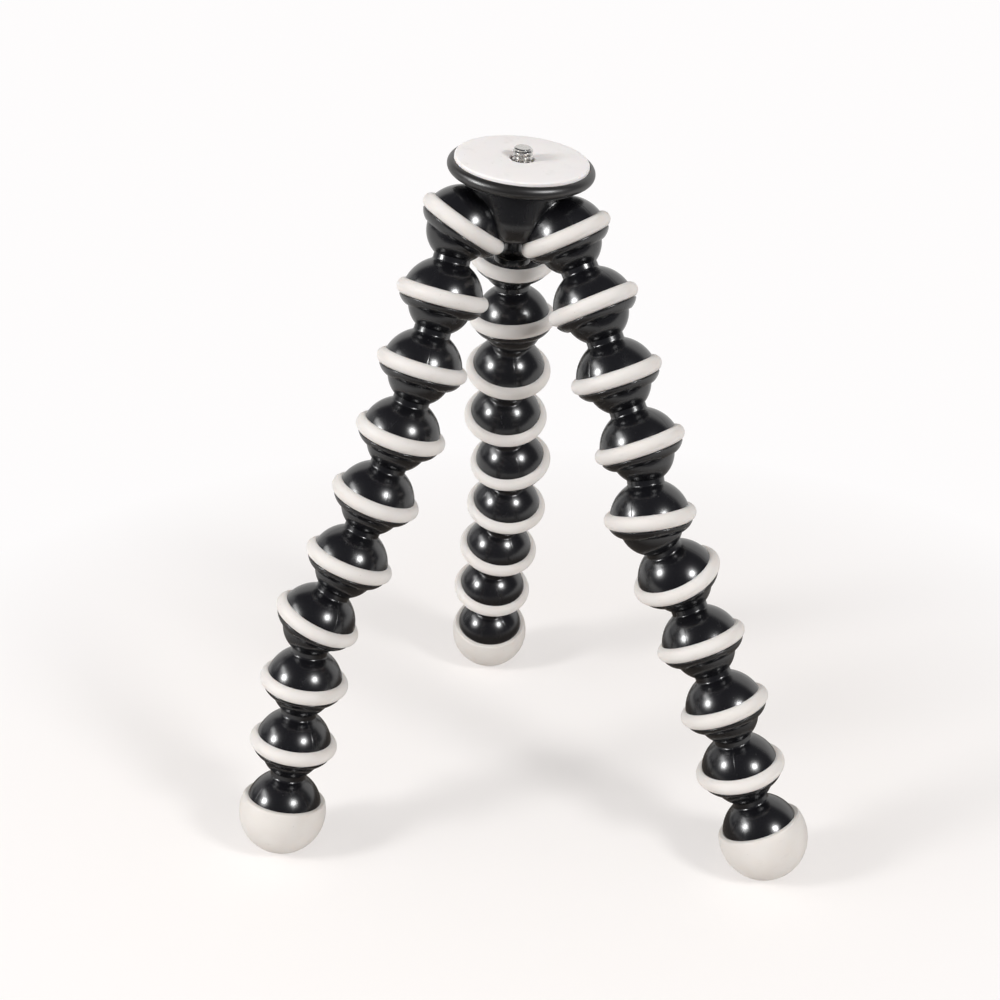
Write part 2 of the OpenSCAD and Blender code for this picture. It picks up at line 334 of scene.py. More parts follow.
# %% Sizes of a link and the stretches of its outline
LINK_SIZES = {
    "Ball Radius": 10.4 * MM,
    "Neck Radius": 6.0 * MM,
    "Neck Fillet": 0.8 * MM,
    "Dome Radius": 13.15 * MM,
    "Dome Up": 1.5 * MM,
    "Pitch": pitch,
    "Ring Height": 5.1 * MM,
    "Seat Radius": 12.2 * MM,
    "Socket Radius": 10.5 * MM,
    "Lip Radius": 13.6 * MM,
    "Lip Depth": 3.0 * MM,
    "Lip Round": 6.0 * MM,
    "Mouth Edge": 0.7 * MM,
    "Edge Round": 0.25 * MM,
    "Parting Height": 0.035 * MM,
    "Parting Width": 0.10 * MM,
}
UPPER = ("Ball Radius", "Neck Radius", "Neck Fillet", "Pitch")
LOWER = ("Seat Radius", "Socket Radius", "Lip Radius", "Lip Depth", "Lip Round", "Mouth Edge", "Edge Round")


def ball_and_dome(tree, s, floor):
    """The stretches from the ball's top to the dome's lower edge, and that edge's radius."""
    out = s["Neck Radius"] + s["Neck Fillet"]
    up = root((s["Dome Radius"] + s["Neck Fillet"]) ** 2 - out ** 2)
    drop = root(s["Ball Radius"] ** 2 - s["Neck Radius"] ** 2)
    dome_z = floor + s["Dome Up"]
    lean = up.maths("ARCTAN2", out)
    edge = ((s["Ring Height"] - s["Dome Up"]) / s["Dome Radius"]).maths("ARCSINE")
    under_ball = (drop / s["Ball Radius"]).maths("ARCSINE")
    neck_end = dome_z + up
    stretches = [
        arc(tree, (0, 0), s["Ball Radius"], QUARTER, -(under_ball + QUARTER)),
        line(tree, (s["Neck Radius"], -drop), (s["Neck Radius"], neck_end)),
        arc(tree, (out, neck_end), s["Neck Fillet"], math.pi, lean, FILLET_STEPS),
        arc(tree, (0, dome_z), s["Dome Radius"], lean, edge - lean),
    ]
    return stretches, s["Dome Radius"] * edge.maths("COSINE")


def rim_and_socket(tree, s, floor, edge_r):
    """The stretches from the dome's lower edge round the lip and up inside the socket."""
    rim, seat, depth = s["Ring Height"], s["Seat Radius"], s["Lip Depth"]
    fine, big = s["Edge Round"], s["Lip Round"]
    end_r = root(s["Socket Radius"] ** 2 - depth ** 2) + s["Mouth Edge"]
    across = s["Lip Radius"] - end_r
    chord = root(across ** 2 + depth ** 2)
    reach = root(big ** 2 - chord ** 2 / 4)
    mid_x = (s["Lip Radius"] + end_r) / 2 - reach * depth / chord
    mid_z = reach * across / chord - depth / 2
    inner = (big - fine) ** 2
    top_x = mid_x + root(inner - (fine + mid_z) ** 2)
    low_z = fine - depth
    low_x = mid_x + root(inner - (low_z - mid_z) ** 2)
    in_x = root((s["Socket Radius"] + fine) ** 2 - low_z ** 2)
    top_way = (-fine - mid_z).maths("ARCTAN2", top_x - mid_x)
    low_way = (low_z - mid_z).maths("ARCTAN2", low_x - mid_x)
    rise = (-low_z).maths("ARCTAN2", in_x)
    return [
        line(tree, (edge_r, floor + rim), (seat, floor + rim)),
        line(tree, (seat, floor + rim), (seat, floor)),
        line(tree, (seat, floor), (top_x, floor)),
        arc(tree, (top_x, floor - fine), fine, QUARTER, top_way - QUARTER, EDGE_STEPS),
        arc(tree, (mid_x, floor + mid_z), big, top_way, low_way - top_way, FILLET_STEPS),
        arc(tree, (low_x, floor + low_z), fine, low_way, -QUARTER - low_way, EDGE_STEPS),
        line(tree, (low_x, floor - depth), (in_x, floor - depth)),
        arc(tree, (in_x, floor + low_z), fine, -QUARTER, -(rise + QUARTER), EDGE_STEPS),
        arc(tree, (0, floor), s["Socket Radius"], -rise, rise + QUARTER),
    ]


def link_tree():
    tree, s = new_tree("link", LINK_SIZES)
    floor = -s["Pitch"]
    upper, edge_r = ball_and_dome(tree, s, floor)
    skin = turned(tree, upper + rim_and_socket(tree, s, floor, edge_r))
    skin = parted(tree, crowded(tree, skin), s["Parting Height"], s["Parting Width"])
    return finished(tree, skin, s)


LINK = link_tree()
print("link tree has", len(LINK.nodes), "nodes")

# %% [markdown]
# Rings, feet and shoulders
#
# A grip ring is a band with a round outer side. A foot has the same ball and dome as a link, but a
# round plug below, and its boot is a cup that is moulded over the plug. A shoulder socket is a dome
# without a ball: it has a peg on top that sits in the hub. All of them reuse the stretches above.

# %% Trees of the other turned pieces
RING_SIZES = {
    "Seat Radius": 12.2 * MM,
    "Tube Radius": 12.45 * MM,
    "Ring Height": 5.1 * MM,
}
CORE_SIZES = {title: size for title, size in LINK_SIZES.items() if title not in LOWER}
CORE_SIZES["Plug Radius"] = 12.2 * MM
BOOT_SIZES = {
    "Boot Radius": boot_r,
    "Hollow Radius": 12.25 * MM,
    "Rim Height": 5.1 * MM,
    "Rim Round": 0.8 * MM,
}
SHOULDER_SIZES = {title: size for title, size in LINK_SIZES.items() if title not in UPPER}
SHOULDER_SIZES["Peg Radius"] = 2.8 * MM
SHOULDER_SIZES["Peg Length"] = 2.0 * MM


def ring_tree():
    tree, s = new_tree("grip ring", RING_SIZES)
    seat, tube, high = s["Seat Radius"], s["Tube Radius"], s["Ring Height"]
    skin = turned(tree, [
        line(tree, (seat, 0), (seat, high)),
        line(tree, (seat, high), (tube, high)),
        arc(tree, (tube, high / 2), high / 2, QUARTER, -math.pi),
        line(tree, (tube, 0), (seat, 0)),
    ])
    return finished(tree, skin, s)


def core_tree():
    tree, s = new_tree("foot core", CORE_SIZES)
    floor = -s["Pitch"]
    rim, plug = s["Ring Height"], s["Plug Radius"]
    upper, edge_r = ball_and_dome(tree, s, floor)
    start = (rim / plug).maths("ARCSINE")
    skin = turned(tree, upper + [
        line(tree, (edge_r, floor + rim), (plug * start.maths("COSINE"), floor + rim)),
        arc(tree, (0, floor), plug, start, -(start + QUARTER)),
    ])
    skin = parted(tree, crowded(tree, skin), s["Parting Height"], s["Parting Width"])
    return finished(tree, skin, s)


def boot_tree():
    tree, s = new_tree("foot boot", BOOT_SIZES)
    outer, hollow, high, fine = s["Boot Radius"], s["Hollow Radius"], s["Rim Height"], s["Rim Round"]
    rim_z = high - fine
    rim_x = root((outer - fine) ** 2 - rim_z ** 2)
    way = rim_z.maths("ARCTAN2", rim_x)
    start = (high / hollow).maths("ARCSINE")
    skin = turned(tree, [
        arc(tree, (0, 0), outer, -QUARTER, way + QUARTER, 2 * ARC_STEPS),
        arc(tree, (rim_x, rim_z), fine, way, QUARTER - way, RIM_STEPS),
        line(tree, (rim_x, high), (hollow * start.maths("COSINE"), high)),
        arc(tree, (0, 0), hollow, start, -(start + QUARTER)),
    ])
    return finished(tree, skin, s)


def shoulder_tree():
    tree, s = new_tree("shoulder socket", SHOULDER_SIZES)
    dome, peg, up = s["Dome Radius"], s["Peg Radius"], s["Dome Up"]
    top = up + dome + s["Peg Length"]
    lean = (peg / dome).maths("ARCCOSINE")
    edge = ((s["Ring Height"] - up) / dome).maths("ARCSINE")
    edge_r = dome * edge.maths("COSINE")
    floor = 0.0 * up  # a wire, as the stretches of the lip need one
    skin = turned(tree, [
        line(tree, (0, top), (peg, top)),
        line(tree, (peg, top), (peg, up + dome * lean.maths("SINE"))),
        arc(tree, (0, up), dome, lean, edge - lean),
    ] + rim_and_socket(tree, s, floor, edge_r))
    skin = parted(tree, crowded(tree, skin), s["Parting Height"], s["Parting Width"])
    return finished(tree, skin, s)


RING, CORE, BOOT, SHOULDER = ring_tree(), core_tree(), boot_tree(), shoulder_tree()
print("trees:", ", ".join(t.name for t in (LINK, RING, CORE, BOOT, SHOULDER)))

# %% [markdown]
# The hub, the disc, the pad and the screw
#
# The hub is one moulding: a thin flange, a barrel that rounds in like a bowl, a slim waist and a bead. It
# is turned first, and then the three domes and rings are cut out of it with a Mesh Boolean node, as the
# real one has hollows that the domes sit in. The disc and the pad are plain turned shapes.

# %% Sizes of the pieces on the hub, from the disc's underside
HUB_SIZES = {
    "Top": -0.3 * MM,
    "Flange Radius": 20.6 * MM,
    "Flange Thickness": 0.6 * MM,
    "Barrel Radius": 17.2 * MM,
    "Bowl Round": 10.5 * MM,
    "Bowl Height": -9.78 * MM,
    "Waist Radius": 2.8 * MM,
    "Waist Fillet": 3.0 * MM,
    "Bead Top": -26.88 * MM,
    "Bead Radius": 5.93 * MM,
    "Bead Fillet": 2.2 * MM,
    "Bead Round": 0.9 * MM,
    "Bottom": -29.28 * MM,
    "Well Radius": 4.55 * MM,
    "Well Depth": 8.35 * MM,
    "Dome Radius": 13.4 * MM,
    "Dome Up": 1.5 * MM,
    "Ring Radius": 15.15 * MM,
    "Ring Top": 5.25 * MM,
    "Edge Round": 0.25 * MM,
    "Seam Round": 0.22 * MM,
}
DISC_SIZES = {
    "Radius": 23.5 * MM,
    "Thickness": 4.2 * MM,
    "Bore Radius": 3.375 * MM,
    "Recess Radius": 21.45 * MM,
    "Recess Floor": 3.2 * MM,
    "Rim Width": 0.35 * MM,
}
PAD_SIZES = {
    "Floor": 3.2 * MM,
    "Top": 5.2 * MM,
    "Radius": 21.4 * MM,
    "Hole Radius": 3.8 * MM,
    "Edge Round": 0.5 * MM,
}
SCREW_SIZES = {
    "Foot": -8.3 * MM,
    "Shoulder": -0.3 * MM,
    "Base Radius": 4.5 * MM,
    "Shank Radius": 2.85 * MM,
    "Thread Radius": 3.175 * MM,
    "Root Radius": 2.55 * MM,
    "Thread Pitch": 1.27 * MM,
    "Thread Start": 3.0 * MM,
    "Tip": 8.9 * MM,
    "Chamfer": 0.7 * MM,
}


def path(tree, *points):
    """Straight stretches from point to point."""
    return [line(tree, a, b) for a, b in zip(points, points[1:])]


def disc_tree():
    tree, s = new_tree("locking disc", DISC_SIZES)
    high, bore, recess, ledge = s["Thickness"], s["Bore Radius"], s["Recess Radius"], s["Recess Floor"]
    round_r = high / 2
    mid = s["Radius"] - round_r
    crest = recess + s["Rim Width"]
    stop = ((crest - mid) / round_r).maths("ARCCOSINE")
    crest_z = round_r + round_r * stop.maths("SINE")
    lower = crest_z - s["Rim Width"] / 2
    skin = turned(tree, [
        line(tree, (bore, 0), (mid, 0)),
        arc(tree, (mid, round_r), round_r, -QUARTER, stop + QUARTER),
        *path(tree, (crest, crest_z), (recess, lower), (recess, ledge), (bore, ledge), (bore, 0)),
    ])
    return finished(tree, skin, s)


def pad_tree():
    tree, s = new_tree("disc pad", PAD_SIZES)
    low, top, outer, hole, fine = s["Floor"], s["Top"], s["Radius"], s["Hole Radius"], s["Edge Round"]
    skin = turned(tree, [
        *path(tree, (hole, top - fine), (hole, low), (outer, low), (outer, top - fine)),
        arc(tree, (outer - fine, top - fine), fine, 0, QUARTER, ROUND_STEPS),
        line(tree, (outer - fine, top), (hole + fine, top)),
        arc(tree, (hole + fine, top - fine), fine, QUARTER, QUARTER, ROUND_STEPS),
    ])
    return finished(tree, skin, s)


DISC, PAD = disc_tree(), pad_tree()
print("trees:", DISC.name, "and", PAD.name)

# %% [markdown]
# The screw's thread
#
# A thread can be swept along a helix, but its ends then need caps and its surface crosses itself at the
# tip. A rolled-up grid has neither trouble: the radius of each point follows a wave that climbs by one
# pitch each turn, and the first and last rows shrink to a point and close it.

# %% The screw's tree
THREAD_ROWS = 260
THREAD_COLUMNS = 96
CREST = 0.14
OVERLAP = 0.5 * MM


def thread(tree, s):
    """A closed rod whose radius follows the thread."""
    size = {"Size X": 1.0, "Size Y": 1.0, "Vertices X": THREAD_COLUMNS + 1, "Vertices Y": THREAD_ROWS}
    grid = Wire.node(tree, "GeometryNodeMeshGrid", None, size)
    split = Wire.node(tree, "ShaderNodeSeparateXYZ", None, {0: Wire.node(tree, "GeometryNodeInputPosition")})
    across, along = split["X"] + 0.5, split["Y"] + 0.5
    angle = 2 * math.pi * across
    height = s["Thread Start"] + along * (s["Tip"] - s["Thread Start"])
    wave = (height / s["Thread Pitch"] - across).maths("FRACT")
    wave = (2 * wave - 1).maths("ABSOLUTE")
    wave = ((wave - CREST) / (1 - 2 * CREST)).maths("MAXIMUM", 0).maths("MINIMUM", 1)
    radius = s["Root Radius"] + wave * (s["Thread Radius"] - s["Root Radius"])
    tip_r = s["Thread Radius"] - (height - s["Tip"] + s["Chamfer"]).maths("MAXIMUM", 0)
    radius = radius.maths("MINIMUM", tip_r)
    inside = (0.5 - (along - 0.5).maths("ABSOLUTE")).maths("GREATER_THAN", 0.5 / THREAD_ROWS)
    radius = radius * inside
    rolled = vector(radius * angle.maths("COSINE"), radius * angle.maths("SINE"), height)
    rod = Wire.node(tree, "GeometryNodeSetPosition", None, {"Geometry": grid, "Position": rolled})
    return merged(tree, rod)


def screw_tree():
    tree, s = new_tree("camera screw", SCREW_SIZES)
    base, shank = s["Base Radius"], s["Shank Radius"]
    hidden_end = s["Thread Start"] + OVERLAP
    foot = turned(tree, [
        *path(tree, (0, s["Foot"]), (base, s["Foot"]), (base, s["Shoulder"]), (shank, s["Shoulder"])),
        *path(tree, (shank, s["Shoulder"]), (shank, hidden_end), (0, hidden_end)),
    ])
    both = Wire.node(tree, "GeometryNodeJoinGeometry", None, {"Geometry": [foot, thread(tree, s)]})
    return finished(tree, both, s)


SCREW = screw_tree()
print("thread of", THREAD_ROWS, "rows")

# %% [markdown]
# The hub's tree
#
# The hollows for the domes are cut with spheres, and the room for the rings with cylinders. Both stand
# at the three shoulders, and each cylinder reaches down past its ring. A moulded edge is never quite
# sharp, and in the photo these edges catch the light. The cut's own edges are known to the node, so a
# fine round edge is swept along them.

# %% The hub's tree
CUT_SEGMENTS = 160
SEAM_SIDES = 8


def shoulder_cutters(tree, s, sockets):
    """A sphere and a cylinder at each shoulder, from its place and its upward way on the hub."""
    cutters = []
    for place, upwards in sockets:
        values = {"Segments": CUT_SEGMENTS, "Rings": CUT_SEGMENTS // 2, "Radius": s["Dome Radius"]}
        ball = Wire.node(tree, "GeometryNodeMeshUVSphere", None, values)
        values = {"Geometry": ball, "Translation": vector(0, 0, s["Dome Up"])}
        ball = Wire.node(tree, "GeometryNodeTransform", None, values)
        values = {"Vertices": CUT_SEGMENTS, "Radius": s["Ring Radius"], "Depth": 4 * s["Ring Top"]}
        drum = Wire.node(tree, "GeometryNodeMeshCylinder", None, values)
        values = {"Geometry": drum, "Translation": vector(0, 0, -s["Ring Top"])}
        drum = Wire.node(tree, "GeometryNodeTransform", None, values)
        aim = Wire.node(tree, "FunctionNodeAlignRotationToVector", {"axis": "Z"}, {"Vector": upwards})
        for shape in (ball, drum):
            values = {"Geometry": shape, "Translation": place, "Rotation": aim}
            cutters.append(Wire.node(tree, "GeometryNodeTransform", None, values))
    return cutters


def hub_tree(sockets):
    tree, s = new_tree("hub", HUB_SIZES)
    top, flange, barrel, fine = s["Top"], s["Flange Radius"], s["Barrel Radius"], s["Edge Round"]
    under = top - s["Flange Thickness"]
    bowl, bowl_z, sweep, flare = s["Bowl Round"], s["Bowl Height"], s["Waist Fillet"], s["Bead Fillet"]
    waist, bead, bead_z, bottom = s["Waist Radius"], s["Bead Radius"], s["Bead Top"], s["Bottom"]
    bowl_end = bowl_z - bowl
    crown = s["Bead Round"]
    well, well_floor = s["Well Radius"], top - s["Well Depth"]
    skin = turned(tree, [
        *path(tree, (0, well_floor), (well, well_floor), (well, top), (flange - fine, top)),
        arc(tree, (flange - fine, top - fine), fine, QUARTER, -QUARTER, EDGE_STEPS),
        *path(tree, (flange, top - fine), (flange, under), (barrel, under), (barrel, bowl_z)),
        arc(tree, (barrel - bowl, bowl_z), bowl, 0, -QUARTER),
        line(tree, (barrel - bowl, bowl_end), (waist + sweep, bowl_end)),
        arc(tree, (waist + sweep, bowl_end - sweep), sweep, QUARTER, QUARTER, FILLET_STEPS),
        line(tree, (waist, bowl_end - sweep), (waist, bead_z + flare)),
        arc(tree, (waist + flare, bead_z + flare), flare, math.pi, QUARTER, ROUND_STEPS),
        line(tree, (waist + flare, bead_z), (bead - crown, bead_z)),
        arc(tree, (bead - crown, bead_z - crown), crown, QUARTER, -QUARTER, ROUND_STEPS),
        line(tree, (bead, bead_z - crown), (bead, bottom + 2 * fine)),
        arc(tree, (bead - 2 * fine, bottom + 2 * fine), 2 * fine, 0, -QUARTER, EDGE_STEPS),
        line(tree, (bead - 2 * fine, bottom), (0, bottom)),
    ])
    values = {"Mesh 1": skin, "Mesh 2": shoulder_cutters(tree, s, sockets)}
    cut = Wire.node(tree, "GeometryNodeMeshBoolean", {"operation": "DIFFERENCE", "solver": "EXACT"}, values)
    values = {"Mesh": cut, "Selection": cut["Intersecting Edges"]}
    seam = Wire.node(tree, "GeometryNodeMeshToCurve", None, values)
    values = {"Resolution": SEAM_SIDES, "Radius": s["Seam Round"]}
    tube = Wire.node(tree, "GeometryNodeCurvePrimitiveCircle", None, values)
    values = {"Curve": seam, "Profile Curve": tube, "Fill Caps": True}
    edge = Wire.node(tree, "GeometryNodeCurveToMesh", None, values)
    whole = Wire.node(tree, "GeometryNodeJoinGeometry", None, {"Geometry": [cut, edge]})
    return finished(tree, whole, s)


to_hub = Vector((0, 0, 1)).rotation_difference(hub_up).to_matrix().transposed()
sockets = [(to_hub @ (balls[leg][0] - disc_under), to_hub @ shoulder_up(leg)) for leg in LEGS]
HUB = hub_tree(sockets)
print("hub tree has", len(HUB.nodes), "nodes")

# %% [markdown]
# Finishes
#
# The links are glossy black plastic: a very dark colour under a clear, even gloss, with the slight
# waviness of a moulded skin and a little dust. The disc is the same plastic with a finer grain, so it
# looks satin, and the hub lies between the two. The rings, boots and pad are pale rubber, a little
# mottled and scuffed, and the boots are a little darker. The screw is plated steel. Each finish is
# painted in the piece's own coordinates, so it moves with the piece. Patterns are given by how often
# they repeat in a metre.

# %% Tools for finishes


def new_finish(name):
    """An empty material and its tree."""
    finish = bpy.data.materials.new(name)
    finish.use_nodes = True
    finish.node_tree.nodes.clear()
    return finish, finish.node_tree


def own_place(tree):
    """The place of each point on its piece, as the piece's tree kept it."""
    return Wire.node(tree, "ShaderNodeAttribute", {"attribute_name": "own_place"})["Vector"]


def noise(tree, place, scale, detail=3.0, roughness=0.5):
    values = {"Vector": place, "Scale": scale, "Detail": detail, "Roughness": roughness}
    return Wire.node(tree, "ShaderNodeTexNoise", None, values)


def spread(wire, low, high, start=0.0, end=1.0):
    """Map a range of a wire to another range, held at its ends."""
    values = {"Value": wire, "From Min": low, "From Max": high, "To Min": start, "To Max": end}
    return Wire.node(wire.tree, "ShaderNodeMapRange", {"clamp": True}, values)


def mixed(tree, factor, first, second):
    """Mix two colours, each a wire or three numbers."""
    colours = [c if isinstance(c, Wire) else (*c, 1) for c in (first, second)]
    values = {"Factor": factor, "A": colours[0], "B": colours[1]}
    return Wire.node(tree, "ShaderNodeMix", {"data_type": "RGBA"}, values)


def bump(tree, height, strength, distance):
    values = {"Height": height, "Strength": strength, "Distance": distance}
    return Wire.node(tree, "ShaderNodeBump", None, values)


def stretched(tree, place, scale):
    """Own place, scaled differently along each axis."""
    return Wire.node(tree, "ShaderNodeMapping", {"vector_type": "POINT"}, {"Vector": place, "Scale": scale})


def put_out(tree, shader, kind="ShaderNodeOutputMaterial"):
    """Link a shader to the tree's output."""
    output = tree.nodes.new(kind)
    tree.links.new(shader.socket, output.inputs["Surface"])


def specks(tree, place, scale, size, share):
    """Small round specks: 1 on a speck and 0 beside it. Only a share of the cells holds one."""
    cells = Wire.node(tree, "ShaderNodeTexVoronoi", None, {"Vector": place, "Scale": scale})
    near = spread(cells["Distance"], size, 0.6 * size)
    chance = Wire.node(tree, "ShaderNodeSeparateColor", None, {0: cells["Color"]})["Red"]
    return near * chance.maths("LESS_THAN", share)


print("finishes are painted in each piece's own place")

# %% Black plastics
DUST_COLOUR = (0.30, 0.28, 0.26)
CLOUDS, DUST, PEEL, GRAIN = 140.0, 900.0, 420.0, 5200.0
SCUFFS = (260.0, 260.0, 40.0)
PLASTIC_IOR = 1.75


def black_plastic(name, colour, gloss, grain, wave):
    finish, tree = new_finish(name)
    place = own_place(tree)
    cloud = noise(tree, place, CLOUDS)
    dust = specks(tree, place, DUST, 0.10, 0.10)
    scuffs = spread(noise(tree, stretched(tree, place, SCUFFS), 1.0, 5.0), 0.60, 0.74)
    height = wave * noise(tree, place, PEEL, 2.0) + grain * noise(tree, place, GRAIN, 2.0)
    put_out(tree, Wire.node(tree, "ShaderNodeBsdfPrincipled", None, {
        "Base Color": mixed(tree, 0.25 * dust, colour, DUST_COLOUR),
        "Roughness": gloss + 0.07 * cloud + 0.10 * scuffs + 0.3 * dust,
        "Normal": bump(tree, height, 0.30, 0.10 * MM),
        "IOR": PLASTIC_IOR,
    }))
    return finish


GLOSS_BLACK = black_plastic("gloss black plastic", (0.0050, 0.0050, 0.0064), 0.19, 0.05, 0.20)
HUB_BLACK = black_plastic("hub black plastic", (0.0045, 0.0045, 0.0055), 0.23, 0.10, 0.15)
SATIN_BLACK = black_plastic("satin black plastic", (0.0095, 0.0085, 0.0082), 0.33, 0.30, 0.10)
print("made", GLOSS_BLACK.name, HUB_BLACK.name, "and", SATIN_BLACK.name)

# %% Rubbers and steel
MARK_COLOUR, DIRT_COLOUR = (0.36, 0.33, 0.30), (0.22, 0.19, 0.16)
MOTTLE, DIRT, TOOTH = 110.0, 520.0, 3800.0
MARKS = (150.0, 150.0, 520.0)
RUBBER_IOR = 1.42
BRIGHT_STEEL, WORN_STEEL = (0.66, 0.65, 0.63), (0.42, 0.40, 0.37)
STEEL_CLOUDS, STEEL_WEAR = 600.0, 1800.0


def rubber(name, colour, warm, gloss):
    finish, tree = new_finish(name)
    place = own_place(tree)
    cloud = noise(tree, place, MOTTLE, 4.0)
    marks = spread(noise(tree, stretched(tree, place, MARKS), 1.0, 6.0, 0.6), 0.58, 0.78)
    dirt = specks(tree, place, DIRT, 0.09, 0.16)
    base = mixed(tree, spread(cloud, 0.35, 0.75, 0.0, 0.7), colour, warm)
    base = mixed(tree, 0.16 * marks, base, MARK_COLOUR)
    height = 0.6 * noise(tree, place, TOOTH, 3.0) + 0.5 * marks
    put_out(tree, Wire.node(tree, "ShaderNodeBsdfPrincipled", None, {
        "Base Color": mixed(tree, 0.45 * dirt, base, DIRT_COLOUR),
        "Roughness": gloss + 0.14 * cloud + 0.10 * marks,
        "Normal": bump(tree, height, 0.22, 0.06 * MM),
        "IOR": RUBBER_IOR,
        "Specular IOR Level": 0.28,
        "Subsurface Weight": 0.12,
        "Subsurface Radius": (1.0, 0.7, 0.5),
        "Subsurface Scale": 1.2 * MM,
    }))
    return finish


def plated_steel():
    finish, tree = new_finish("plated steel")
    place = own_place(tree)
    cloud = noise(tree, place, STEEL_CLOUDS, 4.0)
    wear = spread(noise(tree, place, STEEL_WEAR, 5.0), 0.52, 0.70)
    put_out(tree, Wire.node(tree, "ShaderNodeBsdfPrincipled", None, {
        "Base Color": mixed(tree, 0.5 * wear, BRIGHT_STEEL, WORN_STEEL),
        "Metallic": 1.0,
        "Roughness": 0.16 + 0.14 * cloud + 0.12 * wear,
        "Normal": bump(tree, cloud, 0.08, 0.05 * MM),
    }))
    return finish


GRIP = rubber("grip rubber", (0.735, 0.713, 0.693), (0.71, 0.68, 0.65), 0.40)
BOOT_RUBBER = rubber("boot rubber", (0.69, 0.667, 0.642), (0.665, 0.63, 0.595), 0.40)
PAD_RUBBER = rubber("pad rubber", (0.885, 0.865, 0.865), (0.875, 0.85, 0.845), 0.55)
STEEL = plated_steel()
print("made", GRIP.name, BOOT_RUBBER.name, PAD_RUBBER.name, STEEL.name)

# %% [markdown]
# Putting the pieces in place
#
# Each tree is run once per piece, with that piece's own place, and the result is kept as a plain mesh.
# A link hangs from its ball and points up against its own axis. Rings and boots hang from the socket's
# centre. Each piece is turned by the golden angle from the last one, so that parting lines and marks
# do not line up, as the links of a real leg are turned every way too.

# %% Run a tree for one piece
GOLDEN = math.radians(137.5)
made = []


def build(tree, name, sizes, place, upwards, finish, node, body, turn=None):
    """Run a tree, keep its result as a plain mesh, hang it from its body and hide the CAD node it stands for."""
    piece = bpy.data.objects.new(name, bpy.data.meshes.new(name))
    scene.collection.objects.link(piece)
    nodes = piece.modifiers.new(tree.name, "NODES")
    nodes.node_group = tree
    turn = GOLDEN * len(made) if turn is None else turn
    values = {**sizes, "Turn": turn, "Hung From": place, "Upwards": upwards, "Finish": finish}
    for item in tree.interface.items_tree:
        if item.item_type == "SOCKET" and item.in_out == "INPUT":
            value = values[item.name]
            nodes[item.identifier] = tuple(value) if isinstance(value, Vector) else value
    ready = piece.evaluated_get(bpy.context.evaluated_depsgraph_get())
    solid = bpy.data.meshes.new_from_object(ready)
    piece.modifiers.clear()
    blank, piece.data = piece.data, solid
    bpy.data.meshes.remove(blank)
    face_out(solid)
    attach(piece, body)
    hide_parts(node)
    made.append(piece)


def face_out(mesh):
    """Turn every face outwards."""
    work = bmesh.new()
    work.from_mesh(mesh)
    bmesh.ops.recalc_face_normals(work, faces=work.faces)
    work.to_mesh(mesh)
    work.free()


def hang(leg, i):
    """Upward way of the piece that hangs from ball i of a leg."""
    return (balls[leg][i] - balls[leg][i + 1]).normalized()


print("pieces turn by", round(math.degrees(GOLDEN), 1), "degrees from one to the next")

# %% The three legs
for leg in LEGS:
    for i in range(LINKS):
        body = f"{leg}_segment_{i + 1}"
        link, ring = f"{leg}_link_{i + 1}", f"{leg}_ring_{i + 1}"
        up = hang(leg, i)
        build(LINK, link + "_moulding", LINK_SIZES, balls[leg][i], up, GLOSS_BLACK, link,
              body)
        build(RING, ring + "_band", RING_SIZES, balls[leg][i + 1], up, GRIP, ring, body)
    core, boot, body = f"{leg}_foot_core", f"{leg}_foot_boot", f"{leg}_foot"
    up = hang(leg, LINKS)
    build(CORE, core + "_moulding", CORE_SIZES, balls[leg][LINKS], up, GLOSS_BLACK, core,
          body)
    build(BOOT, boot + "_cup", BOOT_SIZES, balls[leg][LINKS + 1], up, BOOT_RUBBER, boot,
          body)
print("legs made of", len(made), "pieces")

# %% The shoulders and the pieces on the hub
for leg in LEGS:
    up, place = shoulder_up(leg), balls[leg][0]
    build(SHOULDER, f"{leg}_shoulder_moulding", SHOULDER_SIZES, place, up, GLOSS_BLACK, "shoulder_sockets",
          "hub")
    build(RING, f"{leg}_shoulder_band", RING_SIZES, place, up, GRIP, "shoulder_rings", "hub")
build(DISC, "locking_disc_moulding", DISC_SIZES, disc_under, hub_up, SATIN_BLACK, "locking_disc",
      "camera_disc")
build(PAD, "disc_pad_sheet", PAD_SIZES, disc_under, hub_up, PAD_RUBBER, "disc_pad",
      "camera_disc")
build(SCREW, "camera_stud_screw", SCREW_SIZES, disc_under, hub_up, STEEL, "camera_stud",
      "hub")
build(HUB, "hub_moulding", HUB_SIZES, disc_under, hub_up, HUB_BLACK, "hub_body", "hub",
      turn=0.0)
print("pieces in all", len(made), "with", sum(len(p.data.polygons) for p in made), "faces")

# %% [markdown]
# The CAD's own nodes
#
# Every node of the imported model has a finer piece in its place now. The nodes stay hidden underneath
# and get the finish of their slot as well, so that nothing is left bare.

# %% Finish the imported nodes
FINISHES = {
    "black_plastic": GLOSS_BLACK,
    "satin_plastic": SATIN_BLACK,
    "grip_rubber": GRIP,
    "pad_rubber": PAD_RUBBER,
    "plated_steel": STEEL,
}
for part in frame["record"]["subparts"]:
    node = frame["nodes"][part["node"]]
    node.data.materials.clear()
    node.data.materials.append(FINISHES[part["material_slot"]])
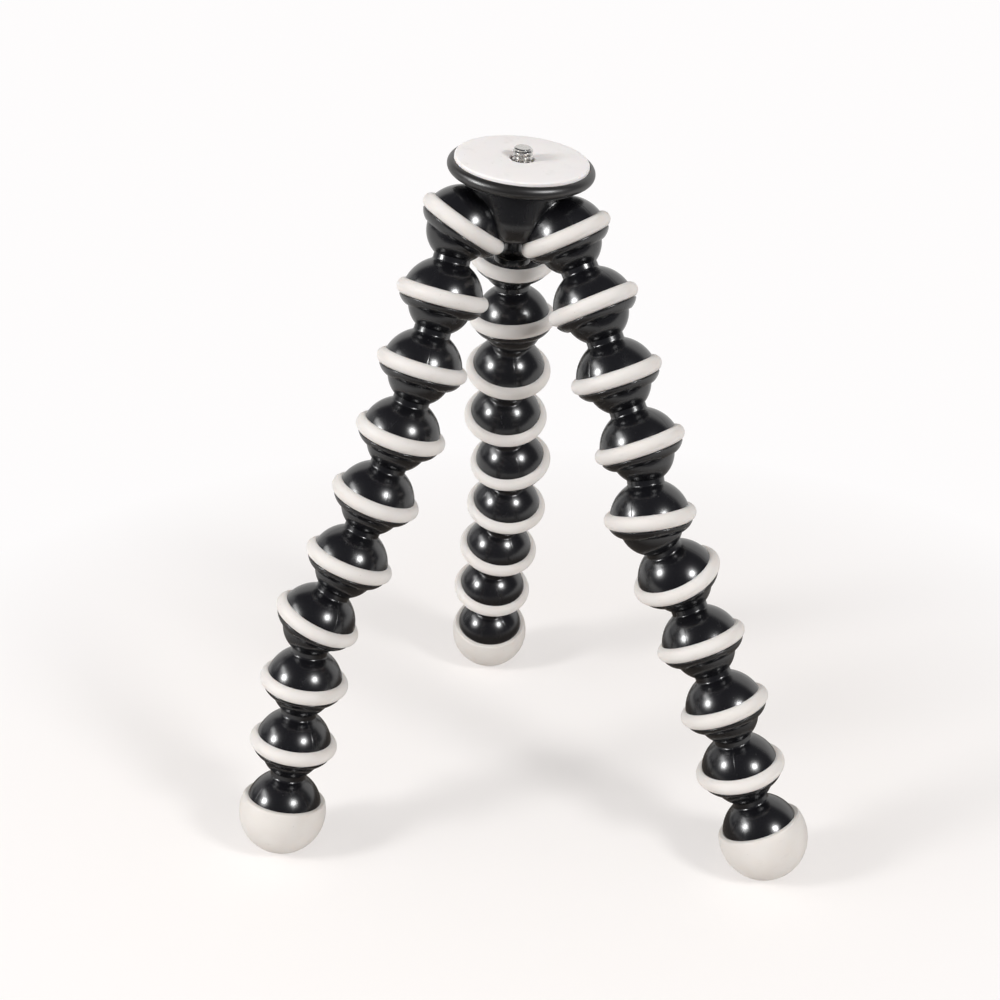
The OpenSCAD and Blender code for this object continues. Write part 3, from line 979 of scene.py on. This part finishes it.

# %% [markdown]
# The studio
#
# The photo has a white table that runs into a white background, and soft light. The table is a large
# pale sheet that ends a little in front of the tripod, so that the fronts of the hub and the domes
# mirror a dark room, as they do in the photo. For the camera the sheet glows a little, more so further
# away, so that it stays white up to its far end. Shadows still fall on it near the tripod, where half
# of what the camera sees is matt. In mirror images the sheet shows painted shade instead: it glows
# dim under the tripod, where its own shade would fall, and white far away.

# %% The table
TABLE_HALF = 6.0
TABLE_FRONT = -0.30
NEAR, FAR = 0.13, 0.30
NEAR_SHARE = 0.50
MATT = (0.95, 0.92, 0.90, 1)
GLOW = (0.975, 0.95, 0.94), (0.99, 0.975, 0.975)
# Painted shade: the glow that mirrors see, dim under the tripod and white far away.
PAINTED_MIRROR_SHADE = (0.15, 0.13, 0.112), (0.80, 0.79, 0.78)


def table_finish():
    finish, tree = new_finish("studio table")
    rays = Wire.node(tree, "ShaderNodeLightPath")
    here = Wire.node(tree, "ShaderNodeNewGeometry")["Position"]
    away = Wire.node(tree, "ShaderNodeVectorMath", {"operation": "LENGTH"}, {0: here})
    far = spread(away, NEAR, FAR)
    mirrored = (rays["Is Glossy Ray"] + rays["Is Transmission Ray"]).maths("MINIMUM", 1)
    seen = rays["Is Camera Ray"] * spread(far, 0, 1, NEAR_SHARE, 1.0)
    matt = Wire.node(tree, "ShaderNodeBsdfDiffuse", None, {"Color": MATT})
    glow, painted_shade_glow = (
        Wire.node(tree, "ShaderNodeEmission", None, {"Color": mixed(tree, far, *colours), "Strength": 1.0})
        for colours in (GLOW, PAINTED_MIRROR_SHADE)
    )
    both = Wire.node(tree, "ShaderNodeMixShader", None, {0: seen, 1: matt, 2: glow})
    # Mirrors see the painted shade glow in place of the lit sheet.
    both = Wire.node(tree, "ShaderNodeMixShader", None, {0: mirrored, 1: both, 2: painted_shade_glow})
    put_out(tree, both)
    return finish


def table_sheet():
    wide, front = TABLE_HALF, TABLE_FRONT
    mesh = bpy.data.meshes.new("table")
    corners = [(-wide, front, 0), (wide, front, 0), (wide, wide, 0), (-wide, wide, 0)]
    mesh.from_pydata(corners, [], [(0, 1, 2, 3)])
    mesh.materials.append(table_finish())
    sheet = bpy.data.objects.new("table", mesh)
    scene.collection.objects.link(sheet)


table_sheet()
print("table from", TABLE_FRONT, "m to", TABLE_HALF, "m")

# %% [markdown]
# Light
#
# Each dome in the photo shows two round bright spots: one from a light on the left, with a streak beside
# it, and one from a light at the front right. How bright such a spot looks depends on how bright the
# lamp's face is, and not on the lamp's power alone. So a lamp is given by its size and by the brightness
# of its face, and its power follows. Both are small, so that the legs' shadows stay narrow, and a wide
# weak lamp around each makes the spot's edge soft. A dim panel further back on the left greys the domes'
# left sides, and a wide lamp overhead fills the shadows. Where a lamp stands is given by its bearing,
# counted from the front to the right, and by its height, both in degrees.

# %% Lights
TRIPOD_MIDDLE = Vector((0, -0.01, 0.13))
LAMP_DISTANCE = 1.3


def lamp(name, bearing, rise, width, height, brightness, in_mirrors=True):
    """Add a round lamp that faces the tripod, and return its power."""
    light = bpy.data.lights.new(name, "AREA")
    light.shape = "ELLIPSE"
    light.size, light.size_y = width, height
    light.energy = brightness * math.pi * (math.pi * width * height / 4)
    holder = bpy.data.objects.new(name, light)
    bearing, rise = math.radians(bearing), math.radians(rise)
    level = math.cos(rise)
    way = Vector((level * math.sin(bearing), -level * math.cos(bearing), math.sin(rise)))
    turn = way.to_track_quat("Z", "Y").to_matrix().to_4x4()
    holder.matrix_world = Matrix.Translation(TRIPOD_MIDDLE + LAMP_DISTANCE * way) @ turn
    holder.visible_glossy = in_mirrors
    scene.collection.objects.link(holder)
    return light.energy


power = [
    lamp("left lamp", -66, 25, 0.32, 0.32, 37.0),
    lamp("left lamp's edge", -68, 25, 0.80, 0.80, 1.1),
    lamp("left lamp's streak", -86, 34, 0.66, 0.26, 4.5),
    lamp("left panel", -118, 18, 0.55, 0.75, 0.5),
    lamp("front lamp", 43, 30, 0.30, 0.30, 40.0),
    lamp("front lamp's edge", 43, 31, 0.70, 0.70, 1.0),
    lamp("overhead lamp", 20, 82, 1.80, 1.80, 0.50, in_mirrors=False),
]
print("lamps of", [round(p, 1) for p in power], "W")

# %% [markdown]
# Surroundings
#
# Between the lamps the room is dark, except for the white backdrop behind the tripod. It gives the domes
# their grey edges, with a border where the backdrop ends, and it reaches a little further round on the
# right. The rest of the light is an even, warm fill, so that the shadows are warm.

# %% Surroundings
DARK = (0.08, 0.08, 0.09)
BACKDROP = (0.90, 0.89, 0.88)
FILL = (0.18, 0.162, 0.147)
BEHIND = (0.19, 0.98, 0.0)
WALL_SIDES = 0.44, 0.60
WALL_TOP = 0.90, 0.68
SEEN = (0.99, 0.98, 0.975)


def surroundings():
    world = bpy.data.worlds.new("studio")
    scene.world = world
    world.use_nodes = True
    tree = world.node_tree
    tree.nodes.clear()
    way = Wire.node(tree, "ShaderNodeTexCoord")["Generated"]
    split = Wire.node(tree, "ShaderNodeSeparateXYZ", None, {0: way})
    behind = Wire.node(tree, "ShaderNodeVectorMath", {"operation": "DOT_PRODUCT"}, {0: way, 1: BEHIND})
    wall = spread(behind, *WALL_SIDES) * spread(split["Z"], *WALL_TOP)
    room = mixed(tree, wall, DARK, BACKDROP)
    rays = Wire.node(tree, "ShaderNodeLightPath")
    fill = mixed(tree, rays["Is Glossy Ray"], FILL, room)
    shown = mixed(tree, rays["Is Camera Ray"], fill, SEEN)
    light = Wire.node(tree, "ShaderNodeBackground", None, {"Color": shown, "Strength": 1.0})
    put_out(tree, light, "ShaderNodeOutputWorld")


surroundings()
print("a dark room with a white backdrop")

# %% [markdown]
# Camera
#
# The camera stands in front of the tripod and looks down at it by about 25 degrees. Its place and lens
# were found by laying the model's ring centres over those in the photo.

# %% Camera
CAMERA_PLACE = Vector((-5.5, -568.9, 372.7)) * MM
LOOK_DOWN = math.radians(25.0)
ROLL = math.radians(-0.63)
LENS = 64.04
SENSOR = 36.0

forward = Vector((0, math.cos(LOOK_DOWN), -math.sin(LOOK_DOWN)))
level_right = Vector((1, 0, 0))
level_up = level_right.cross(forward)
right = math.cos(ROLL) * level_right + math.sin(ROLL) * level_up
upright = math.cos(ROLL) * level_up - math.sin(ROLL) * level_right
lens = bpy.data.cameras.new("camera")
lens.sensor_width = SENSOR
lens.lens = LENS
camera = bpy.data.objects.new("camera", lens)
aim = Matrix((right, upright, -forward)).transposed().to_4x4()
camera.matrix_world = Matrix.Translation(CAMERA_PLACE) @ aim
scene.collection.objects.link(camera)
scene.camera = camera
scene.view_settings.view_transform = "Standard"
print("lens of", LENS, "mm")
